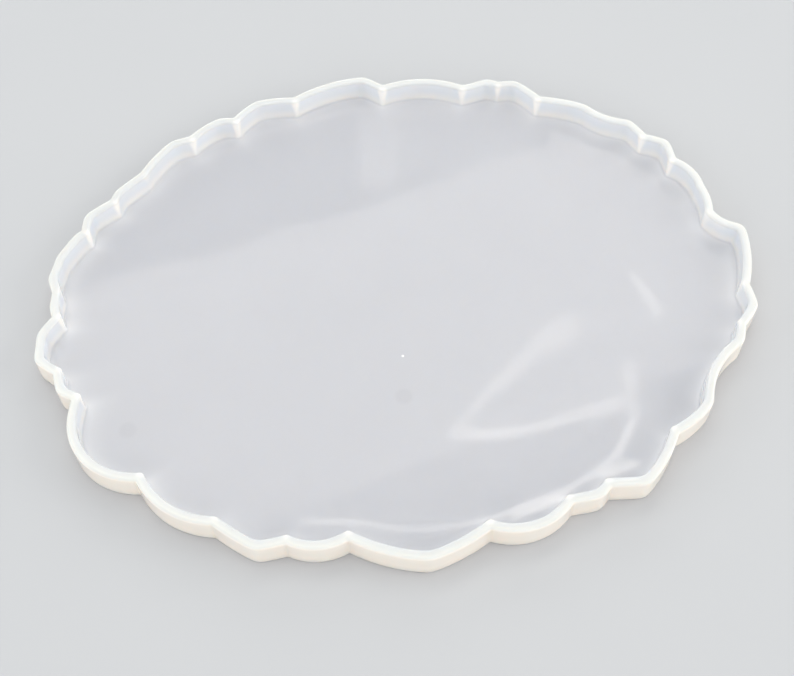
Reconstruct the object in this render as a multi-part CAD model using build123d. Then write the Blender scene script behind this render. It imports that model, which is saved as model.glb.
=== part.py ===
from build123d import *
import os

# Resin casting mould: a one-piece silicone tray whose cavity has the wavy outline of an agate slice.
# Frame: millimetres, +Z up, standing on Z = 0, with the origin under the middle of its footprint.
# +X runs along the long side, and +Y towards the side with the wide, shallow waves.

# Driving dimensions
HEIGHT = 14.5          # table to the top of the wall
FLOOR = 2.5            # thickness of the cavity's floor
WALL = 4.5             # thickness of the wall, the same all the way round
RIM_ROUND = 0.6        # softened edges along the top of the wall
BASE_ROUND = 0.8       # softened edge where the wall meets the table
COVE = 0.8             # hollow round between the floor and the wall
CREVICE = 0.6          # bottom of each notch in the wall's outside
KINK_ANGLE = 8         # degrees between two edges that count as a notch

# Rounding of the cavity's outline, seen from above
RIDGE = 1.5            # tip of a ridge that stands into the cavity
TIGHT = 1.6            # crisp pocket of a lobe
SOFT = 4.0             # full, rounded pocket of a lobe
EASY = 8.0             # slight bend

# Cavity outline, clockwise from the top left. Each row is a point, the bow of the arc that
# arrives there (out of the cavity is positive, 0 is straight) and the rounding of the point.
OUTLINE = [
    # wide waves along the far side
    (-87.5, 113.0, 0.2, RIDGE),
    (-76.5, 126.2, 0.8, SOFT),
    (-55.8, 128.0, 1.0, RIDGE),
    (-18.5, 143.0, 2.8, SOFT),
    (-7.5, 135.5, 0.0, RIDGE),
    (37.0, 134.3, 5.5, RIDGE),
    (51.0, 139.0, -0.4, SOFT),
    (57.0, 136.3, 0.3, RIDGE),
    (66.0, 137.3, 0.2, SOFT),
    (77.8, 124.6, 0.6, RIDGE),
    (102.3, 117.9, 1.1, SOFT),
    (125.3, 105.2, -2.5, SOFT),
    (131.9, 94.3, 0.3, RIDGE),
    (142.9, 90.0, 0.3, TIGHT),
    (144.8, 77.1, 0.0, RIDGE),
    # right-hand side
    (156.0, 59.8, 3.0, RIDGE),
    (157.8, 42.5, 1.2, EASY),
    (172.5, 30.0, -2.4, TIGHT),
    (167.8, -4.3, 1.9, RIDGE),
    (169.8, -16.5, 0.2, TIGHT),
    (162.0, -27.0, 0.3, RIDGE),
    (159.8, -36.3, 0.0, TIGHT),
    (139.1, -70.8, -4.3, TIGHT),
    (121.3, -84.8, 1.4, RIDGE),
    (105.7, -109.7, 1.6, TIGHT),
    # deep scallops along the near side
    (88.8, -110.0, 0.0, RIDGE),
    (84.2, -115.6, 0.0, TIGHT),
    (70.6, -117.8, 0.0, RIDGE),
    (35.7, -128.3, 6.9, RIDGE),
    (9.0, -142.9, 1.4, EASY),
    (-26.0, -131.9, 2.2, RIDGE),
    (-52.3, -133.4, 4.1, RIDGE),
    (-65.5, -136.2, 0.2, SOFT),
    (-83.7, -124.0, 0.5, RIDGE),
    (-118.2, -101.3, 6.0, RIDGE),
    # left-hand side
    (-151.7, -71.0, 10.3, EASY),
    (-151.0, -59.5, 0.0, RIDGE),
    (-159.5, -55.3, 0.0, TIGHT),
    (-162.3, -44.6, 0.0, RIDGE),
    (-172.2, -38.0, 0.3, TIGHT),
    (-172.8, -25.3, -0.2, SOFT),
    (-166.2, -14.6, 0.2, RIDGE),
    (-169.0, -7.8, 0.2, EASY),
    (-168.8, 1.2, 0.0, EASY),
    (-172.2, 9.8, 0.0, SOFT),
    (-170.3, 21.2, -0.4, SOFT),
    (-162.9, 35.1, 0.1, SOFT),
    (-159.3, 37.3, 0.0, RIDGE),
    (-159.1, 48.2, 0.2, SOFT),
    (-147.3, 57.6, 0.3, RIDGE),
    (-145.4, 64.3, 0.0, SOFT),
    (-133.5, 76.6, 0.0, EASY),
    (-120.3, 97.5, 1.0, EASY),
    (-110.6, 100.5, 0.3, RIDGE),
    (-96.5, 113.5, 1.0, SOFT),
]


def bowed_edge(start, end, bow):
    """Arc from start to end that stands bow outside the chord, or a straight edge."""
    if bow == 0:
        return Line(start, end)
    chord = end - start
    outward = Vector(-chord.Y, chord.X).normalized()
    return ThreePointArc(start, (start + end) / 2 + outward * bow, end)


def sharp_outline():
    """The cavity seen from above: arcs and straight runs through OUTLINE, not yet rounded."""
    points = [Vector(x, y) for x, y, _, _ in OUTLINE]
    bows = [bow for _, _, bow, _ in OUTLINE]
    return make_face([bowed_edge(points[i - 1], points[i], bows[i]) for i in range(len(points))])


def rounded(face):
    """The cavity's outline with each point rounded as its row says."""
    for x, y, _, rounding in OUTLINE:
        face = fillet(face.vertices().sort_by_distance((x, y))[0], rounding)
    return face


def kinks(outline):
    """The vertices where two neighbouring edges of an outline meet at an angle."""
    edges = outline.face().outer_wire().order_edges()
    pairs = zip(edges, edges[1:] + edges[:1])
    places = [after @ 0 for before, after in pairs if (before % 1).get_angle(after % 0) > KINK_ANGLE]
    return [outline.vertices().sort_by_distance(place)[0] for place in places]


def footprint():
    """The outside of the wall seen from above: lobes come out round, and notches nearly sharp."""
    outside = offset(sharp_outline(), WALL, kind=Kind.ARC)
    return fillet(kinks(outside), CREVICE)


def tray():
    """The wall and the floor around the cavity, with every edge softened."""
    body = extrude(footprint(), HEIGHT)
    body = fillet(body.faces().sort_by(Axis.Z)[0].edges(), BASE_ROUND)
    body -= Pos(0, 0, FLOOR) * extrude(rounded(sharp_outline()), HEIGHT)
    body = fillet(body.faces().sort_by(Axis.Z)[-1].edges(), RIM_ROUND)
    floor = body.faces().filter_by(Axis.Z).sort_by(Axis.Z)[1]
    return fillet(floor.edges(), COVE)


mould = tray()
middle = mould.bounding_box().center()
mould = Pos(-middle.X, -middle.Y, 0) * mould
mould.label = "mould"

os.makedirs("parts", exist_ok=True)
export_step(mould, "parts/mould.step")
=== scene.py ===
import math

import bpy
import numpy as np
from mathutils import Matrix, Vector, noise


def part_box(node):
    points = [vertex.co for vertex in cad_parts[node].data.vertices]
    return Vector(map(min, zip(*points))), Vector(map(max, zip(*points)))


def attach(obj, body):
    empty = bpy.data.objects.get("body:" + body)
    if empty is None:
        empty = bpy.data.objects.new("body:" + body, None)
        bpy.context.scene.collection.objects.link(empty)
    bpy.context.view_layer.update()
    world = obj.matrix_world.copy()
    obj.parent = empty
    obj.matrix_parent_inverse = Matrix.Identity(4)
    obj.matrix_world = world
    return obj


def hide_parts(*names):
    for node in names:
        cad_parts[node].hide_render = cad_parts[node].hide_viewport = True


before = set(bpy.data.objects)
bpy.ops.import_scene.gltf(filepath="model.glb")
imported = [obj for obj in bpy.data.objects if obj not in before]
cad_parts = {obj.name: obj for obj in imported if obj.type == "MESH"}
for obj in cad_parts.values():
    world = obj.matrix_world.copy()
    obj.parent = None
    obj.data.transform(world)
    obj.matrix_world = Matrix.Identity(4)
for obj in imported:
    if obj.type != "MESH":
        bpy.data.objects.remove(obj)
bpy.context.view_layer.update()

# Sizes in metres
MM = 0.001
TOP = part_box("mould")[1].z      # top of the wall above the table
FLOOR = 2.5 * MM                # thickness of the cavity's floor
CAD_RIM_ROUND = 0.6 * MM        # where the CAD wall stops being upright
RIM_OUTSIDE = 1.4 * MM          # soft outer edge of the rim
RIM_INSIDE = 1.2 * MM           # soft inner edge of the rim
COVE = 1.2 * MM                 # hollow round at the foot of the cavity's wall
BASE_ROUND = 0.8 * MM           # soft edge against the table
SWELL = 0.16 * MM               # height of the floor's broad waves
RIPPLE = 0.03 * MM              # height of its small ones
GLOW_DEPTH = 5.0 * MM           # how far light travels inside the silicone
ALONG = 0.6 * MM                # mesh spacing along the wall
# the paler tone at the wall's foot is painted light
FOOT_REACH = 6.0 * MM           # how far the paler tone at the wall's foot reaches over the floor
FLOOR_SPACING = 1.6 * MM        # mesh spacing on the cavity's floor
UNDERSIDE_SPACING = 6.0 * MM    # mesh spacing under the tray
LEVEL = 0.002 * MM              # how closely a CAD vertex has to lie at a given height
RIM_SETTLE = 0.10 * MM          # how far the rim lies below the CAD wall's top on average
RIM_WAVER = 0.16 * MM           # how far it strays from level
RIM_WAVE = 38 * MM              # length of the rim's waves
SWELL_WAVE = 75 * MM            # length of the floor's broad waves
RIPPLE_WAVE = 30 * MM           # length of its small ones
TABLE_REACH = 20.0              # from the middle of the table to its sides
TABLE_DROP = 0.05 * MM          # keeps the table just clear of the tray's underside

# Smoothing passes along a loop, and the turn in radians between two of its edges that makes a full ridge
RIDGE_SPREAD, CREASE_SPREAD, CREASE_PASSES, SCALLOP_PASSES = 14, 6, 1, 22
FULL_RIDGE = 0.10

# Silicone tones, most of them painted light and shade
# painted shade: the cavity's floor is darker grey than its wall, for light lost through the thin floor; its
# two tones vary at random
FLOOR_SHADE_TONES = (0.505, 0.51, 0.54), (0.525, 0.53, 0.56)
# painted light: the cavity's floor paler along the wall's foot
FLOOR_EDGE_LIGHT = (0.72, 0.72, 0.74)
# painted light: the cavity's wall paler and warmer at its foot
FOOT_LIGHT = (0.81, 0.805, 0.80)
# painted shade: the cavity's wall darker and bluer higher up
WALL_COOL_SHADE = (0.74, 0.765, 0.80)
# painted highlight: pale wedges down the cavity's wall along the ridges
WEDGE_HIGHLIGHT = (0.89, 0.87, 0.845)
# painted highlight: the rim paler where the ridges meet it
RIM_RIDGE_HIGHLIGHT = (0.78, 0.77, 0.75)
RIM_TONE = (0.68, 0.69, 0.67)
# painted shade: the rim darker and cooler on its inner edge
RIM_INNER_SHADE = (0.62, 0.635, 0.64)
SMEAR = (0.49, 0.495, 0.525)
BUBBLE = (0.95, 0.95, 0.95)
MARKS = (0, -35, 0.8, BUBBLE), (0, -58, 5.5, SMEAR), (-130, -73, 5.5, SMEAR)  # x, y, radius in mm
# painted glow on the outside, as if lit through the wall: creamy under the rim, peach towards the table
CREAM_GLOW = (0.865, 0.82, 0.765)
PEACH_GLOW = (1.0, 0.87, 0.78)
TABLE_TONES = (0.49, 0.50, 0.515), (0.51, 0.52, 0.535)

# Heights in mm above the table between which one tone of silicone gives way to the next
FLOOR_TO_WALL = 2.6, 3.6
FOOT_TO_COOL = 4.0, 9.5
RIDGE_RISE = 2.0, 14.0
WALL_TO_RIM = 12.0, 14.3
PEACH_TO_CREAM = 0.0, 9.0
CREAM_TO_RIM = 13.0, 14.4

# Camera
TILT, ROLL = 55.6, -1.4         # degrees
LENS, SENSOR = 54.41, 36.0      # millimetres on the film
CAMERA_PLACE = (-2.6 * MM, -358.1 * MM, 490.0 * MM)


# ---------------------------------------------------------------- outlines taken from the CAD wall

def upright_loops():
    """The closed loops along the top of the CAD wall's upright faces, as arrays of x, y points."""
    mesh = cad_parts["mould"].data
    height = TOP - CAD_RIM_ROUND
    places = {}
    for v in mesh.vertices:
        if abs(v.co.z - height) < LEVEL:
            places[v.index] = (round(v.co.x, 7), round(v.co.y, 7))
    neighbours = {}
    for edge in mesh.edges:
        a, b = (places.get(i) for i in edge.vertices)
        if a and b and a != b:
            neighbours.setdefault(a, set()).add(b)
            neighbours.setdefault(b, set()).add(a)
    loops = []
    while neighbours:
        point = next(iter(neighbours))
        loop = []
        while point is not None:
            loop.append(point)
            onward = neighbours.pop(point)
            point = next((p for p in onward if p in neighbours), None)
        loops.append(np.array(loop))
    return sorted(loops, key=lambda loop: abs(signed_area(loop)))


def signed_area(loop):
    """The area inside a loop, positive when it runs counter-clockwise."""
    x, y = loop.T
    return 0.5 * float(np.sum(x * np.roll(y, -1) - y * np.roll(x, -1)))


def resampled(loop, spacing):
    """The closed loop with evenly spaced points, counter-clockwise."""
    if signed_area(loop) < 0:
        loop = loop[::-1]
    closed = np.vstack([loop, loop[:1]])
    run = np.concatenate([[0], np.cumsum(np.linalg.norm(np.diff(closed, axis=0), axis=1))])
    count = max(12, int(round(run[-1] / spacing)))
    at = np.linspace(0, run[-1], count, endpoint=False)
    return np.column_stack([np.interp(at, run, closed[:, k]) for k in (0, 1)])


def smoothed(values, passes):
    """Averages each entry of a closed sequence with its two neighbours, several times over."""
    for _ in range(passes):
        values = (np.roll(values, 1, 0) + 2 * values + np.roll(values, -1, 0)) / 4
    return values


def ridges(loop):
    """1 along the corners that point into the cavity, fading to 0 away from them."""
    along = np.roll(loop, -1, 0) - loop
    heading = np.arctan2(along[:, 1], along[:, 0])
    turn = np.angle(np.exp(1j * (heading - np.roll(heading, 1))))
    return np.clip(smoothed(-turn, RIDGE_SPREAD) / FULL_RIDGE, 0, 1)


def softened(loop):
    """Rounds the scallops' corners a little more and leaves the creases between them crisp."""
    crease = np.clip(smoothed(ridges(loop), CREASE_SPREAD) * 2, 0, 1)[:, None]
    return smoothed(loop, CREASE_PASSES) * crease + smoothed(loop, SCALLOP_PASSES) * (1 - crease)


def outward(loop):
    """Unit normals that point out of a counter-clockwise loop."""
    along = np.roll(loop, -1, 0) - np.roll(loop, 1, 0)
    normal = np.column_stack([along[:, 1], -along[:, 0]])
    return normal / np.linalg.norm(normal, axis=1, keepdims=True)


# ---------------------------------------------------------------- the tray's surface

class Surface:
    """Vertices and faces collected ring by ring."""

    def __init__(self):
        self.points = []
        self.faces = []
        self.masks = {"outside": [], "ridge": [], "foot": []}
        self.count = 0

    def ring(self, xy, z, outside=0.0, ridge=0.0, foot=0.0):
        """Adds one closed ring and returns its vertex numbers and places."""
        xyz = np.column_stack([xy, np.broadcast_to(z, len(xy))])
        self.points.append(xyz)
        self.masks["outside"].append(np.broadcast_to(float(outside), len(xyz)))
        self.masks["ridge"].append(np.broadcast_to(ridge, len(xyz)))
        self.masks["foot"].append(np.broadcast_to(foot, len(xyz)))
        first = self.count
        self.count += len(xyz)
        return np.arange(first, self.count), xyz

    def strip(self, a, b):
        """Quads between two rings of the same length."""
        i, j = a[0], b[0]
        self.faces += np.column_stack([i, np.roll(i, -1), np.roll(j, -1), j]).tolist()

    def zip(self, a, b):
        """Triangles between two rings of any length, always across the shorter diagonal."""
        (i, p), (j, q) = a, b
        turn = int(np.argmin(np.linalg.norm(q - p[0], axis=1)))
        j, q = np.roll(j, -turn), np.roll(q, -turn, 0)
        m, n = len(i), len(j)
        s = t = 0
        while s < m or t < n:
            step_a = np.sum((p[(s + 1) % m] - q[t % n]) ** 2)
            step_b = np.sum((q[(t + 1) % n] - p[s % m]) ** 2)
            if t >= n or (s < m and step_a <= step_b):
                self.faces.append([int(i[s % m]), int(i[(s + 1) % m]), int(j[t % n])])
                s += 1
            else:
                self.faces.append([int(i[s % m]), int(j[(t + 1) % n]), int(j[t % n])])
                t += 1

    def disc(self, edge, spacing, height, outside=0.0):
        """Fills the inside of a ring with smaller and smaller copies of it, down to one point."""
        outline = edge[1][:, :2]
        reach = float(np.max(np.linalg.norm(outline, axis=1)))
        steps = max(3, int(reach / spacing))
        before = edge
        for k in range(1, steps):
            scale = 1 - k / steps
            xy = resampled(outline * scale, spacing)
            ring = self.ring(xy, height(xy), outside, 0.0, math.exp(-k * spacing / FOOT_REACH))
            self.zip(before, ring)
            before = ring
        middle = np.zeros((1, 2))
        tip = self.ring(middle, height(middle), outside)[0][0]
        last = before[0]
        self.faces += [[int(a), int(b), int(tip)] for a, b in zip(last, np.roll(last, -1))]

    def mesh(self, name):
        """The finished mesh, with each mask as an attribute of its points."""
        made = bpy.data.meshes.new(name)
        made.from_pydata(np.vstack(self.points).tolist(), [], self.faces)
        made.validate()
        made.polygons.foreach_set("use_smooth", [True] * len(made.polygons))
        for mask, values in self.masks.items():
            made.attributes.new(mask, "FLOAT", "POINT").data.foreach_set("value", np.concatenate(values))
        made.update()
        return made


def quarter(steps):
    """Sine and cosine pairs over a quarter turn."""
    return [(math.sin(a), math.cos(a)) for a in np.linspace(0, math.pi / 2, steps + 1)]


def rim_height(xy):
    """The rim's top: cast silicone, so it isn't perfectly level."""
    waver = [noise.noise(Vector((x / RIM_WAVE, y / RIM_WAVE, 3.7))) for x, y in xy]
    return TOP - RIM_SETTLE + RIM_WAVER * np.array(waver)


def floor_height(xy):
    """The floor isn't quite flat: it sags and swells a little."""
    heights = []
    for x, y in xy:
        swell = noise.noise(Vector((x / SWELL_WAVE, y / SWELL_WAVE, 1.3)))
        ripple = noise.noise(Vector((x / RIPPLE_WAVE, y / RIPPLE_WAVE, 8.1)))
        heights.append(FLOOR + SWELL * swell + RIPPLE * ripple)
    return np.array(heights)


def underside_height(xy):
    """The underside lies flat on the table."""
    return np.zeros(len(xy))


def build_tray():
    """The tray as one closed surface: outside, rim, cavity wall, floor and underside."""
    inner, outer = (resampled(loop, ALONG) for loop in upright_loops())
    inner, outer = softened(inner), softened(outer)
    out_n, in_n = outward(outer), outward(inner)
    surface = Surface()

    # outside: from the underside's edge up to the rim
    rings = []
    for s, c in quarter(4):
        rings.append(surface.ring(outer - out_n * BASE_ROUND * (1 - s), BASE_ROUND * (1 - c), 1.0))
    rim = rim_height(outer)
    for share in np.linspace(0.12, 0.92, 8):
        rings.append(surface.ring(outer, BASE_ROUND + (rim - RIM_OUTSIDE - BASE_ROUND) * share, 1.0))
    for s, c in quarter(6):
        xy = outer - out_n * RIM_OUTSIDE * (1 - c)
        rings.append(surface.ring(xy, rim - RIM_OUTSIDE * (1 - s), 0.5 + 0.5 * c))
    for a, b in zip(rings, rings[1:]):
        surface.strip(a, b)
    underside, rim_outer = rings[0], rings[-1]

    # cavity side: from the rim down to the floor
    rings = []
    rim, ridge = rim_height(inner), ridges(inner)
    for s, c in quarter(5):
        xy = inner + in_n * RIM_INSIDE * (1 - s)
        rings.append(surface.ring(xy, rim - RIM_INSIDE * (1 - c), 0.0, ridge, 1.0))
    foot = floor_height(inner) + COVE
    for share in np.linspace(0.08, 0.92, 8):
        z = rim - RIM_INSIDE + (foot - rim + RIM_INSIDE) * share
        rings.append(surface.ring(inner, z, 0.0, ridge, 1.0))
    for s, c in quarter(5):
        rings.append(surface.ring(inner - in_n * COVE * (1 - c), foot - COVE * s, 0.0, ridge * c, 1.0))
    for a, b in zip(rings, rings[1:]):
        surface.strip(a, b)
    surface.zip(rim_outer, rings[0])
    surface.disc(rings[-1], FLOOR_SPACING, floor_height)
    first_underside = len(surface.faces)
    surface.disc(underside, UNDERSIDE_SPACING, underside_height, 1.0)
    for face in surface.faces[first_underside:]:
        face.reverse()
    return surface.mesh("silicone_tray")


# ---------------------------------------------------------------- shader maths

class Socket:
    """A shader value that works in ordinary sums, adding the Math nodes it needs."""

    def __init__(self, recipe, link):
        self.recipe = recipe
        self.link = link

    def _with(self, operation, a, b):
        return self.recipe.add("Math", {"operation": operation}, {0: a, 1: b})

    def __add__(self, other):
        return self._with("ADD", self, other)

    def __radd__(self, other):
        return self._with("ADD", other, self)

    def __sub__(self, other):
        return self._with("SUBTRACT", self, other)

    def __rsub__(self, other):
        return self._with("SUBTRACT", other, self)

    def __mul__(self, other):
        return self._with("MULTIPLY", self, other)

    def __truediv__(self, other):
        return self._with("DIVIDE", self, other)


class Recipe:
    """One material and the nodes in it."""

    def __init__(self, name):
        self.material = bpy.data.materials.new(name)
        self.material.use_nodes = True
        self.tree = self.material.node_tree
        self.tree.nodes.clear()

    def add(self, kind, settings=None, inputs=None, out=0):
        """Adds a node: settings go on first, then the values or links of its sockets."""
        node = self.tree.nodes.new("ShaderNode" + kind)
        for name, value in (settings or {}).items():
            setattr(node, name, value)
        for name, value in (inputs or {}).items():
            socket = self._find(node.inputs, name)
            if isinstance(value, Socket):
                self.tree.links.new(value.link, socket)
            else:
                socket.default_value = value
        return Socket(self, self._find(node.outputs, out))

    @staticmethod
    def _find(sockets, name):
        if isinstance(name, int):
            return sockets[name]
        return next(s for s in sockets if name in (s.identifier, s.name))

    def blend(self, factor, a, b):
        """Colour a where factor is 0, colour b where it is 1."""
        inputs = {"Factor_Float": factor, "A_Color": rgba(a), "B_Color": rgba(b)}
        return self.add("Mix", {"data_type": "RGBA"}, inputs, "Result_Color")

    def ease(self, value, start, end):
        """0 up to start, 1 from end on, and a smooth rise between them."""
        settings = {"interpolation_type": "SMOOTHSTEP"}
        inputs = {"Value": value, "From Min": start, "From Max": end}
        return self.add("MapRange", settings, inputs, "Result")

    def mottle(self, place, scale, detail=3.0):
        """Cloudy noise between 0 and 1."""
        inputs = {"Vector": place, "Scale": scale, "Detail": detail}
        return self.add("TexNoise", None, inputs, "Fac")

    def finish(self, shader):
        """Links the shader to the output and returns the material."""
        output = self.tree.nodes.new("ShaderNodeOutputMaterial")
        self.tree.links.new(shader.link, output.inputs["Surface"])
        return self.material


def rgba(colour):
    """A colour as a socket takes it: links stay as they are, and plain colours gain an alpha."""
    return colour if isinstance(colour, Socket) else (*colour, 1)


def silicone():
    """Milky, translucent silicone with a glossy skin; its tones are painted light and shade: a creamy
    painted glow on the outside, painted shade darker on the floor and bluer high on the cavity's wall,
    paler painted light at the wall's foot and painted highlights along the ridges.
    """
    r = Recipe("milky_silicone")
    place = r.add("TexCoord", None, None, "Object")
    height = r.add("SeparateXYZ", None, {"Vector": place}, "Z") / MM
    outside = r.add("Attribute", {"attribute_name": "outside"}, None, "Fac")
    ridge = r.add("Attribute", {"attribute_name": "ridge"}, None, "Fac")
    cloud = r.mottle(place, 28.0)

    # cavity side: the thin floor, then the wall, with painted light paler at its foot and painted shade
    # bluer towards the rim
    foot = r.add("Attribute", {"attribute_name": "foot"}, None, "Fac")
    # painted shade: the floor's darker grey, cloudy between two tones at random
    floor = r.blend(cloud, FLOOR_SHADE_TONES[0], FLOOR_SHADE_TONES[1])
    for x, y, radius, tone in MARKS:
        middle = (x * MM, y * MM, FLOOR)
        away = r.add("VectorMath", {"operation": "DISTANCE"}, {0: place, 1: middle}, "Value") / MM
        floor = r.blend(1 - r.ease(away, radius * 0.5, radius), floor, tone)
    # painted light: the floor paler along the wall's foot
    floor = r.blend(foot, floor, FLOOR_EDGE_LIGHT)
    # painted light paler at the wall's foot, giving way to painted shade, darker and bluer, higher up
    wall = r.blend(r.ease(height, *FOOT_TO_COOL), FOOT_LIGHT, WALL_COOL_SHADE)
    cavity = r.blend(r.ease(height, *FLOOR_TO_WALL), floor, wall)
    # painted highlight: pale wedges down the wall along the ridges, narrowing towards the floor
    ridge_highlight = r.ease(ridge + r.ease(height, *RIDGE_RISE) * 0.7 - 0.7, -0.05, 0.75)
    cavity = r.blend(ridge_highlight, cavity, WEDGE_HIGHLIGHT)
    # painted shade darker and cooler on the rim's inner edge, and a painted highlight where the ridges meet
    # the rim
    rim = r.blend(outside * 2, RIM_INNER_SHADE, RIM_TONE)
    rim = r.blend(ridge * 0.8, rim, RIM_RIDGE_HIGHLIGHT)
    cavity = r.blend(r.ease(height, *WALL_TO_RIM), cavity, rim)

    # outside: painted glow of light through the wall, creamy under the rim, warmer towards the table
    skirt = r.blend(r.ease(height, *PEACH_TO_CREAM), PEACH_GLOW, CREAM_GLOW)
    skirt = r.blend(r.ease(height, *CREAM_TO_RIM), skirt, RIM_TONE)
    colour = r.blend(r.ease(outside, 0.5, 0.95), cavity, skirt)

    smudge = r.ease(r.mottle(place, 14.0, 5.0), 0.35, 0.75)
    roughness = 0.03 + smudge * 0.025
    grain = r.mottle(place, 900.0, 2.0)
    bump = r.add("Bump", None, {"Height": grain, "Strength": 0.012, "Distance": 0.0002}, "Normal")
    shader = r.add("BsdfPrincipled", None, {
        "Base Color": colour, "Roughness": roughness, "Normal": bump, "IOR": 1.41,
        "Subsurface Weight": 1.0, "Subsurface Radius": (1.0, 0.9, 0.8), "Subsurface Scale": GLOW_DEPTH,
    }, "BSDF")
    return r.finish(shader)


def table_top():
    """Plain, matt and pale."""
    r = Recipe("pale_table")
    place = r.add("TexCoord", None, None, "Object")
    colour = r.blend(r.mottle(place, 6.0), *TABLE_TONES)
    shader = r.add("BsdfPrincipled", None, {"Base Color": colour, "Roughness": 0.85}, "BSDF")
    return r.finish(shader)


# ---------------------------------------------------------------- stage, light and camera

def build_floor(material):
    """The table under the tray."""
    mesh = bpy.data.meshes.new("floor")
    turns = [(-1, -1), (1, -1), (1, 1), (-1, 1)]
    corners = [(x * TABLE_REACH, y * TABLE_REACH, -TABLE_DROP) for x, y in turns]
    mesh.from_pydata(corners, [], [(0, 1, 2, 3)])
    floor = bpy.data.objects.new("floor", mesh)
    bpy.context.collection.objects.link(floor)
    mesh.materials.append(material)


def softbox(name, place, aim, size, radiance, colour):
    """A rectangular light whose surface has the given brightness."""
    lamp = bpy.data.lights.new(name, "AREA")
    lamp.shape = "RECTANGLE"
    lamp.size, lamp.size_y = size
    lamp.energy = radiance * math.pi * size[0] * size[1]
    lamp.color = colour
    light = bpy.data.objects.new(name, lamp)
    light.location = place
    light.rotation_euler = (Vector(aim) - Vector(place)).to_track_quat("-Z", "Y").to_euler()
    bpy.context.collection.objects.link(light)
    return light


def build_light():
    """A pale room, soft panels overhead and four softboxes around the tray."""
    world = bpy.data.worlds.new("room")
    world.use_nodes = True
    world.node_tree.nodes["Background"].inputs["Color"].default_value = (0.75, 0.88, 1.0, 1)
    world.node_tree.nodes["Background"].inputs["Strength"].default_value = 0.44
    bpy.context.scene.world = world
    warm = (1.0, 0.945, 0.87)

    def overhead(name, middle, size, turn, radiance, height=1.5):
        """A panel that faces down; turn is in degrees."""
        panel = softbox(name, (*middle, height), (*middle, 0), size, radiance, warm)
        panel.rotation_euler = (0, 0, math.radians(turn))

    def ribbon(name, points, widths, radiance):
        """Short strips end to end, whose reflection curls across the glossy floor."""
        for k, width in enumerate(widths):
            a, b = Vector(points[k]), Vector(points[k + 1])
            run = b - a
            turn = math.degrees(math.atan2(run.y, run.x))
            overhead(f"{name}_{k}", (a + b) / 2, (run.length, width), turn, radiance, 1.49)

    slant = Matrix.Rotation(math.radians(21), 2)
    overhead("main_panel", slant @ Vector((0.22, 0.967)), (2.26, 0.633), 21, 1.95)
    overhead("low_panel", slant @ Vector((-0.40, 0.52)), (1.0, 0.26), 21, 1.3)
    overhead("shade_panel", slant @ Vector((0.45, 0.52)), (0.70, 0.26), 21, 0.9)
    overhead("far_panel", (0.85, 1.62), (1.0, 0.40), 0, 1.6)
    overhead("far_bar", (-0.03, 1.52), (0.08, 0.24), 0, 1.3)
    overhead("far_glow", (0.16, 1.56), (0.34, 0.26), 0, 0.5)
    overhead("near_panel", (0.0, -0.4), (2.2, 1.4), 0, 0.85)
    ribbon("curl", [(0.09, 0.77), (0.18, 0.87), (0.27, 0.97), (0.37, 1.02)], [0.016, 0.030, 0.056], 2.5)
    ribbon("fold", [(0.09, 0.77), (0.25, 0.78), (0.37, 0.815), (0.45, 0.84)], [0.026, 0.024, 0.030], 4.2)
    ribbon("turn", [(0.461, 0.93), (0.457, 0.80)], [0.032], 2.2)
    ribbon("edge", [(0.457, 0.80), (0.40, 0.71), (0.29, 0.637), (0.157, 0.586)], [0.014, 0.011, 0.010], 7.0)
    ribbon("rail", [(0.157, 0.586), (-0.006, 0.583), (-0.187, 0.601)], [0.008, 0.008], 6.0)
    ribbon("crescent", [(0.203, 0.591), (0.292, 0.627)], [0.020], 8.0)
    ribbon("glint", [(0.366, 0.67), (0.445, 0.707)], [0.020], 8.0)
    ribbon("stroke", [(0.497, 1.137), (0.53, 1.034)], [0.012], 6.0)
    softbox("front", (0.0, -1.6, 1.0), (0.0, 0.0, 0.0), (2.4, 1.2), 1.75, (1.0, 0.93, 0.86))
    softbox("left", (-1.7, 0.0, 0.8), (0.0, 0.0, 0.0), (1.6, 1.2), 1.8, (1.0, 0.96, 0.92))
    softbox("right", (1.7, 0.0, 0.8), (0.0, 0.0, 0.0), (1.6, 1.2), 2.9, (1.0, 0.95, 0.89))
    softbox("back", (0.0, 2.0, 0.9), (0.0, 0.0, 0.0), (2.4, 0.9), 2.0, (1.0, 0.97, 0.94))


def build_camera():
    """Looks down across the tray from its near side."""
    tilt, roll = math.radians(TILT), math.radians(ROLL)
    ahead = Vector((0, math.cos(tilt), -math.sin(tilt)))
    level = Vector((1, 0, 0))
    upright = level.cross(ahead)
    right = level * math.cos(roll) + upright * math.sin(roll)
    up = upright * math.cos(roll) - level * math.sin(roll)
    camera = bpy.data.objects.new("camera", bpy.data.cameras.new("camera"))
    camera.data.sensor_width = SENSOR
    camera.data.lens = LENS
    camera.data.clip_start = 0.01
    facing = Matrix((right, up, -ahead)).transposed().to_4x4()
    camera.matrix_world = Matrix.Translation(CAMERA_PLACE) @ facing
    bpy.context.collection.objects.link(camera)
    bpy.context.scene.camera = camera


tray = bpy.data.objects.new("tray", build_tray())
bpy.context.collection.objects.link(tray)
tray.data.materials.append(silicone())
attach(tray, "root")
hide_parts("mould")

build_floor(table_top())
build_light()
build_camera()
bpy.context.scene.view_settings.view_transform = "Standard"
